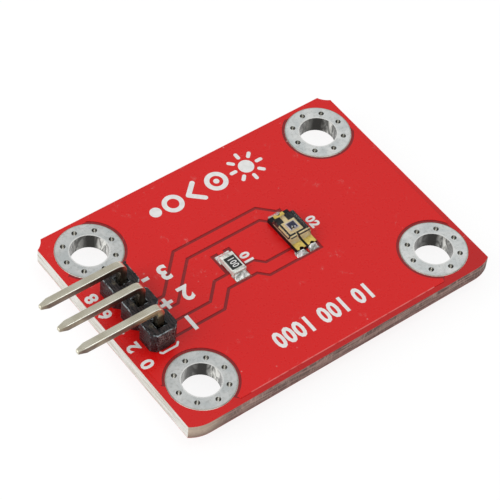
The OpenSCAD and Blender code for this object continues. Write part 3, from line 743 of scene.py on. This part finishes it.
def makeChipFinish():  # dark blue die with a pale border and two metal pads
    look = chipLook
    material, tree, shader = newFinish("siliconBlue", look["roughness"])
    place = placeOf(tree)
    low, high = nodeBox("sensor_chip")
    middleX, middleY = (low[0] + high[0]) / 2, (low[1] + high[1]) / 2
    inner = (high[0] - low[0]) / 2 - look["border"]
    edge = ramp(tree, fromSpot(tree, place, middleX, middleY),
                inner - look["rimBlur"], inner + look["rimBlur"])
    cloud = grain(tree, *look["clouds"])
    colour = blended(tree, ramp(tree, cloud["Mask"], *look["fade"]), look["blue"], look["dark"])
    colour = blended(tree, edge, colour, look["rim"])
    for x, y in look["pads"]:
        onPad = maths(tree, "LESS_THAN", fromSpot(tree, place, middleX + x, middleY + y), look["padHalf"])
        colour = blended(tree, onPad, colour, look["pad"])
    paint(tree, shader, colour)
    relief(tree, shader, cloud["Fine"], look["lumps"])
    return material


carrierLook = {
    "black": shade(4, 6, 8), "sheen": shade(20, 32, 36), "clouds": ((4, 4, 4), 4, 0.3),
    "sheenFade": (0.4, 0.75), "gleam": shade(255, 220, 176), "gleamX": (2.11, 2.27), "gleamY": (-1.16, 1.42),
    "gleamUp": (0.5, 0.6), "gleamFade": (0.35, 0.5, 0.3, 0.95),
    "roughness": 0.42, "shine": 0.25, "lumps": 0.004,
}


def makeCarrierFinish():  # black, with a painted reflection of the gilt in the clear block's left foot
    look = carrierLook
    material, tree, shader = newFinish("carrierBlack", look["roughness"],
                                       **{"Specular IOR Level": look["shine"]})
    place = placeOf(tree)
    cloud = grain(tree, *look["clouds"])
    colour = blended(tree, ramp(tree, cloud["Mask"], *look["sheenFade"]), look["black"], look["sheen"])
    # painted reflection of the gilt, seen in the clear block's left foot
    giltReflection = ramp(tree, facingParts(tree, place)["Z"], *look["gleamUp"])
    for axis, (low, high) in (("X", look["gleamX"]), ("Y", look["gleamY"])):
        giltReflection = times(tree, giltReflection, maths(tree, "GREATER_THAN", place[axis], low),
                      maths(tree, "LESS_THAN", place[axis], high))
    giltReflection = times(tree, giltReflection, ramp(tree, cloud["Fine"], *look["gleamFade"]))
    paint(tree, shader, blended(tree, giltReflection, colour, look["gleam"]))
    relief(tree, shader, cloud["Fine"], look["lumps"])
    return material


plainLooks = {  # two colours, size of the clouds between them, roughness and depth of relief
    "etchedCopper": (shade(200, 120, 84), shade(170, 96, 66), 2, 0.4, 0.003),
    "whiteCeramic": (shade(236, 236, 230), shade(214, 214, 206), 4, 0.5, 0.006),
    "blackGlaze": (shade(24, 28, 27), shade(40, 46, 43), 5, 0.3, 0.004),
    "whitePrint": (shade(240, 240, 238), shade(226, 226, 224), 3, 0.55, 0.003),
}
plainClouds = {"detail": 4, "warp": 0.3, "fade": (0.35, 0.7), "roughness": (0.8, 1.2)}


def makePlainFinish(name, metallic=0.0):
    colour, other, stretch, roughness, depth = plainLooks[name]
    material, tree, shader = newFinish(name, metallic=metallic)
    cloud = grain(tree, (stretch, stretch, stretch), plainClouds["detail"], plainClouds["warp"])
    paint(tree, shader, blended(tree, ramp(tree, cloud["Mask"], *plainClouds["fade"]), colour, other))
    roughen(tree, shader, cloud["Fine"], *(roughness * share for share in plainClouds["roughness"]))
    relief(tree, shader, cloud["Fine"], depth)
    return material


clearLook = {
    "tint": (0.97, 0.98, 0.96, 1), "bend": 1.4, "shine": 0.1,
    "clouds": ((1.2, 1.2, 1.2), 2), "roughness": (0.02, 0.06),
}


def makeClearFinish():
    look = clearLook
    material, tree, shader = newFinish("clearResin", **{
        "IOR": look["bend"], "Specular IOR Level": look["shine"], "Transmission Weight": 1.0,
        "Base Color": look["tint"]})
    roughen(tree, shader, grain(tree, *look["clouds"])["Mask"], *look["roughness"])
    return material


topMaskFinish = makeMaskFinish("solderMaskTop", board["top"], board["bare"])
bottomMaskFinish = makeMaskFinish("solderMaskBottom", 0.0, board["copper"])
laminateFinish = makeLaminateFinish()
tinFinish = makeTinFinish()
plasticFinish = makePlasticFinish()
edgeHighlightFinish = makeEdgeHighlightFinish()
pinFinish = makePinFinish()
solderFinish = makeSolderFinish()
capFinish = makeCapFinish()
giltFinish = makeGiltFinish()
clearFinish = makeClearFinish()
copperFinish = makePlainFinish("etchedCopper", metallic=1.0)
carrierFinish = makeCarrierFinish()
siliconFinish = makeChipFinish()
ceramicFinish = makePlainFinish("whiteCeramic")
coatFinish = makePlainFinish("blackGlaze")
printFinish = makePlainFinish("whitePrint")
print("finishes made")


# CAD nodes that keep their shape

dress(laminateFinish, "substrate")
dress(copperFinish, "top_copper", "bottom_copper")
dress(topMaskFinish, "top_mask")
dress(bottomMaskFinish, "bottom_mask")
dress(tinFinish, "mounting_ring_near_left", "mounting_ring_near_right", "mounting_ring_far_left",
      "mounting_ring_far_right", "pin_land_near", "pin_land_mid", "pin_land_far")
dress(solderFinish, "pin_solder_near", "pin_solder_mid", "pin_solder_far")
dress(carrierFinish, "sensor_carrier")
dress(giltFinish, "sensor_far_terminal", "sensor_near_left_terminal", "sensor_near_right_terminal",
      "sensor_bond_wire")
dress(siliconFinish, "sensor_chip")
dress(ceramicFinish, "resistor_body")
dress(coatFinish, "resistor_coat")


# Header: the moulded housing and the three bent pins with their edges broken

headerShape = {
    "housingEdge": 0.07, "pinEdge": 0.06, "burrRough": 0.03,
    "burrs": [  # crumbs of plastic left by the mould: place and half sizes, in mm
        ((-11.02, 3.78, 3.60), (0.17, 0.10, 0.09)), ((-11.62, 3.79, 3.60), (0.12, 0.08, 0.08)),
        ((-10.99, 2.40, 3.58), (0.07, 0.16, 0.08)), ((-10.99, -1.10, 3.58), (0.07, 0.13, 0.08)),
    ],
}


def makeBurr(middle, half):
    pickNothing()
    bpy.ops.mesh.primitive_ico_sphere_add(subdivisions=2, radius=mm,
                                          location=[value * mm for value in middle])
    burr = bpy.context.object
    burr.data.materials.append(plasticFinish)
    burr.scale = half
    bpy.ops.object.transform_apply(location=True, rotation=True, scale=True)
    editAll(burr)
    bpy.ops.transform.vertex_random(offset=headerShape["burrRough"] * mm, uniform=1.0,
                                    seed=len(bpy.data.objects))
    doneEditing()
    return burr


housing = copyOfNode("header_housing", "headerHousing")
housing.data.materials.clear()
housing.data.materials.append(plasticFinish)
# the second finish paints highlights on the rounded top edges
housing.data.materials.append(edgeHighlightFinish)
roundEdges(housing, headerShape["housingEdge"], 3, finish=1)
crumbs = [makeBurr(*burr) for burr in headerShape["burrs"]]
pickOnly(housing)
for crumb in crumbs:
    crumb.select_set(True)
bpy.ops.object.join()
finishPiece(housing, None, ["header_housing"])
for which in ("near", "mid", "far"):
    pin = roundEdges(copyOfNode("header_pin_" + which, "headerPin" + which.capitalize()),
                     headerShape["pinEdge"], 3)
    finishPiece(pin, pinFinish, ["header_pin_" + which])
print("header made")


# Sensor: a clear block round the chip, and solder at its three lands

sensorShape = {"sunk": 0.005, "slope": 0.24, "edge": 0.05}


def makeLens():
    low, high = nodeBox("sensor_lens")
    lens = newBox("sensorLens", (*low[:2], low[2] - sensorShape["sunk"]), high)
    editWhere(lens, lambda p: p.z > high[2] - 0.01)
    bpy.ops.transform.resize(value=(1, 1 - 2 * sensorShape["slope"] / (high[1] - low[1]), 1))
    doneEditing()
    roundEdges(lens, sensorShape["edge"], 3)
    finishPiece(lens, clearFinish, ["sensor_lens"])


makeLens()


solderShapes = {  # corners of each land, the part's end, the way the hill falls and its height
    "sensorSolderFar": {"low": (2.36, 1.80), "high": (3.50, 2.52), "edge": 2.10, "side": 1, "height": 0.46,
                        "node": "sensor_solder_far"},
    "sensorSolderNearLeft": {"low": (1.86, -2.28), "high": (2.84, -1.56), "edge": -1.90, "side": -1,
                             "height": 0.44, "node": "sensor_solder_near_left"},
    "sensorSolderNearRight": {"low": (3.16, -2.28), "high": (4.04, -1.60), "edge": -1.90, "side": -1,
                              "height": 0.44, "node": "sensor_solder_near_right"},
    "resistorSolderFar": {"low": (-3.715, 0.70), "high": (-2.365, 1.50), "edge": 0.99, "side": 1,
                          "height": 0.42, "node": "resistor_solder_far"},
    "resistorSolderNear": {"low": (-3.715, -1.50), "high": (-2.365, -0.70), "edge": -0.99, "side": -1,
                           "height": 0.42, "node": "resistor_solder_near"},
}
solderBed = {"bottom": board["core"], "bed": 0.07, "uneven": 0.035, "cuts": 7, "terraces": 6, "tuck": 0.06,
             "shoulder": 0.93, "taper": 0.1, "levels": 2, "smooth": 60}


def makeSolder(name, s):  # a soft hill: high against the part's end, thin at the land's rim
    bed = solderBed
    top, terraces = bed["bottom"] + bed["bed"], bed["terraces"]
    hill = newBox(name, (*s["low"], bed["bottom"]), (*s["high"], top))
    editAll(hill)
    bpy.ops.mesh.subdivide(number_cuts=bed["cuts"])
    doneEditing()
    outer = s["high"][1] if s["side"] > 0 else s["low"][1]
    run = abs(outer - s["edge"])
    middle, half = (s["low"][0] + s["high"][0]) / 2, (s["high"][0] - s["low"][0]) / 2

    def onTop(p):
        return p.z > top - 0.01

    def onTerrace(p, reach):
        past = s["side"] * (p.y - s["edge"])
        width = half * (bed["shoulder"] - bed["taper"] * (1 - reach))
        return onTop(p) and -bed["tuck"] < past < run * reach and abs(p.x - middle) < width

    for step in range(terraces):  # the subdivision then melts these into one slope
        reach = 1 - (step + 0.5) / terraces
        editWhere(hill, lambda p: onTerrace(p, reach))
        bpy.ops.transform.translate(value=(0, 0, (s["height"] - bed["bed"]) / terraces * mm))
        doneEditing()
    editWhere(hill, onTop)
    bpy.ops.transform.vertex_random(offset=bed["uneven"] * mm, uniform=0.6, normal=0.4, seed=len(name))
    doneEditing()
    applied(hill, "SUBSURF", levels=bed["levels"], render_levels=bed["levels"])
    finishPiece(hill, solderFinish, [s["node"]], smooth=bed["smooth"])


for name, shape in solderShapes.items():
    makeSolder(name, shape)
print("sensor made")


# Resistor: end caps with soft edges

resistorShape = {"capEdge": 0.018}  # less than half a cap's wall

for which in ("near", "far"):
    cap = roundEdges(copyOfNode("resistor_cap_" + which, "resistorCap" + which.capitalize()),
                     resistorShape["capEdge"])
    finishPiece(cap, capFinish, ["resistor_cap_" + which])
print("resistor made")


# Print: generic marks only, in white, a hair above the mask

printSetup = {
    "from": board["bare"], "to": board["top"] + 0.013, "spacing": 1.1, "capital": 0.7, "curve": 3,
    "corners": 40, "merge": 0.001, "hair": 0.001, "levels": 6,
}

printedWords = [  # words, middle, height, turn, weight, width
    ("1", (-9.1, -2.68), 1.45, 180, 0.07, 1.0),
    ("2 +", (-8.75, -0.05), 1.45, 180, 0.07, 1.0),
    ("3 -", (-8.75, 2.6), 1.45, 180, 0.07, 1.0),
    ("10 100 1000", (0.05, -7.95), 1.5, 180, 0.08, 0.82),
    ("0  2  4  6  8", (-14.25, -0.3), 1.05, 90, 0.05, 1.06),
    ("01", (-1.62, 0.06), 0.8, 270, 0.05, 1.0),
    ("02", (5.17, 0.11), 0.8, 270, 0.05, 1.0),
]
coatTop = nodeBox("resistor_coat")[1][2]
coatWords = {
    "line": ("100", (-3.04, 0.0), 0.6, 270, 0.01, 0.74), "from": coatTop - 0.006, "to": coatTop + 0.008,
}
lightRow = {  # from bright to dim: sun, ring with a dot, arrow, ring, disc
    "sun": (4.25, 7.95), "sunR": 1.5, "sunDisc": 0.46, "rayFrom": 0.74, "rays": 8, "rayWidth": 0.34,
    "dotted": [((1.2, 8.0), 1.02, 0.58), ((1.2, 8.0), 0.26)],
    "arrow": (-1.65, 8.0), "arrowTips": [(-0.6, 8.95), (-0.6, 7.05)], "arrowWidth": 0.44,
    "dim": [((-3.2, 8.0), 0.95, 0.52), ((-4.95, 8.0), 0.52)],
}
bracket = {"points": [(-12.83, -3.8), (-12.7, -3.95), (-11.35, -3.95), (-11.1, -3.72)], "width": 0.19}
printPieces = []


def asPrint(piece):  # pieces that cross mustn't share a top face, so their heights differ a hair
    level = len(printPieces) % printSetup["levels"]
    editAll(piece)
    bpy.ops.transform.translate(value=(0, 0, -printSetup["hair"] * mm * level))
    bpy.ops.mesh.normals_make_consistent(inside=False)
    doneEditing()
    printPieces.append(piece)


def printWords(words, middle, height, turn, weight, wide, layer=printSetup):
    pickNothing()
    depth = layer["to"] - layer["from"]
    bpy.ops.object.text_add(location=(middle[0] * mm, middle[1] * mm, (layer["from"] + depth / 2) * mm))
    piece = bpy.context.object
    piece.data.body = words
    piece.data.size = height / printSetup["capital"] * mm
    piece.data.align_x = "CENTER"
    piece.data.align_y = "CENTER"
    piece.data.offset = weight * mm
    piece.data.space_character = printSetup["spacing"]
    piece.data.extrude = depth / 2 * mm
    piece.data.resolution_u = printSetup["curve"]
    piece.rotation_euler = (0, 0, math.radians(turn))
    piece.scale = (wide, 1, 1)
    bpy.ops.object.convert(target="MESH")
    piece = bpy.context.object
    bpy.ops.object.transform_apply(location=True, rotation=True, scale=True)
    editAll(piece)
    bpy.ops.mesh.remove_doubles(threshold=printSetup["merge"] * mm)
    doneEditing()
    asPrint(piece)


def printDisc(middle, radius, inner=0.0):
    depth = printSetup["to"] - printSetup["from"]
    pickNothing()
    bpy.ops.mesh.primitive_circle_add(vertices=printSetup["corners"], radius=radius * mm, fill_type="NGON",
                                      location=(middle[0] * mm, middle[1] * mm, printSetup["from"] * mm))
    piece = bpy.context.object
    bpy.ops.object.transform_apply(location=True, rotation=True, scale=True)
    editAll(piece)
    if inner:
        bpy.ops.mesh.inset(thickness=(radius - inner) * mm)
        bpy.ops.mesh.delete(type="FACE")
        bpy.ops.mesh.select_all(action="SELECT")
    bpy.ops.mesh.extrude_region_move(TRANSFORM_OT_translate={"value": (0, 0, depth * mm)})
    doneEditing()
    asPrint(piece)


def printStroke(start, end, width):  # a straight stroke with round ends
    start, end = Vector((*start, 0)), Vector((*end, 0))
    along = end - start
    piece = newBox("stroke", (0, -width / 2, printSetup["from"]), (along.length, width / 2, printSetup["to"]))
    piece.rotation_euler = (0, 0, math.atan2(along.y, along.x))
    piece.location = (start.x * mm, start.y * mm, 0)
    pickOnly(piece)
    bpy.ops.object.transform_apply(location=True, rotation=True, scale=True)
    asPrint(piece)
    printDisc(start[:2], width / 2)
    printDisc(end[:2], width / 2)


def printSun(row):
    middle, radius = row["sun"], row["sunR"]
    printDisc(middle, radius * row["sunDisc"])
    for ray in range(row["rays"]):
        angle = 2 * math.pi * ray / row["rays"]
        way = (math.cos(angle), math.sin(angle))
        printStroke(*((middle[0] + way[0] * radius * reach, middle[1] + way[1] * radius * reach)
                      for reach in (row["rayFrom"], 1)), row["rayWidth"])


for line in printedWords:
    printWords(*line)
printWords(*coatWords["line"], coatWords)
printSun(lightRow)
for disc in lightRow["dotted"]:
    printDisc(*disc)
for tip in lightRow["arrowTips"]:
    printStroke(lightRow["arrow"], tip, lightRow["arrowWidth"])
for disc in lightRow["dim"]:
    printDisc(*disc)
for start, end in zip(bracket["points"], bracket["points"][1:]):
    printStroke(start, end, bracket["width"])

pickNothing()
for piece in printPieces:
    piece.select_set(True)
bpy.context.view_layer.objects.active = printPieces[0]
bpy.ops.object.join()
whitePrint = nameIt(bpy.context.object, "whitePrint")
finishPiece(whitePrint, printFinish)
print("print made")


# Stage: pale floor, white backdrop and soft lamps

stageSetup = {
    "floor": sized(cadBox[0][2] / mm), "floorSize": 900, "floorGlow": 0.82, "floorWhite": 1.06,
    "pale": (0.9, 0.9, 0.9, 1), "paler": (0.92, 0.92, 0.92, 1), "clouds": ((0.05, 0.05, 0.05), 2),
    "roughness": 0.9,
}


def makeFloor():
    pickNothing()
    bpy.ops.mesh.primitive_plane_add(size=stageSetup["floorSize"] * mm,
                                     location=(0, 0, stageSetup["floor"] * mm))
    floor = nameIt(bpy.context.object, "paleFloor")
    material, tree, shader = newFinish("paleFloor", stageSetup["roughness"])
    cloud = grain(tree, *stageSetup["clouds"])
    paint(tree, shader, blended(tree, cloud["Mask"], stageSetup["pale"], stageSetup["paler"]))
    paths = addNode(tree, "ShaderNodeLightPath").outputs
    seen = maths(tree, "MAXIMUM", paths["Is Camera Ray"],
                 maths(tree, "MAXIMUM", paths["Is Glossy Ray"], paths["Is Transmission Ray"]))
    glow = addNode(tree, "ShaderNodeEmission", {"Color": (1, 1, 1, 1), "Strength": stageSetup["floorWhite"]})
    mixed = addNode(tree, "ShaderNodeMixShader", {0: times(tree, seen, stageSetup["floorGlow"]),
                                                  1: shader.outputs[0], 2: glow.outputs[0]})
    tree.links.new(mixed.outputs[0], tree.nodes["Material Output"].inputs[0])
    floor.data.materials.append(material)


worldSetup = {"light": 0.6}


def makeWorld():
    world = bpy.data.worlds.new("softRoom")
    bpy.context.scene.world = world
    world.use_nodes = True
    tree = world.node_tree
    light = tree.nodes["Background"]
    light.inputs[0].default_value = (1, 1, 1, 1)
    light.inputs[1].default_value = worldSetup["light"]
    white = addNode(tree, "ShaderNodeBackground", {0: (1, 1, 1, 1), 1: 1.0})
    paths = addNode(tree, "ShaderNodeLightPath").outputs
    mixed = addNode(tree, "ShaderNodeMixShader",
                    {0: paths["Is Camera Ray"], 1: light.outputs[0], 2: white.outputs[0]})
    tree.links.new(mixed.outputs[0], tree.nodes["World Output"].inputs[0])


lamps = {
    "keyBox": {"place": (-260, 60, 190), "size": 240, "power": 0.42},
    "topBox": {"place": (40, -60, 330), "size": 160, "power": 0.12},
}


def makeLamp(name, s):
    data = bpy.data.lights.new(name, "AREA")
    data.shape = "SQUARE"
    data.size = s["size"] * mm
    data.energy = s["power"]
    lamp = bpy.data.objects.new(name, data)
    bpy.context.scene.collection.objects.link(lamp)
    place = Vector(s["place"]) * mm
    lamp.matrix_world = Matrix.Translation(place) @ (-place).to_track_quat("-Z", "Y").to_matrix().to_4x4()


makeFloor()
makeWorld()
for name, setup in lamps.items():
    makeLamp(name, setup)
print("stage set")

pickNothing()
bpy.context.view_layer.update()
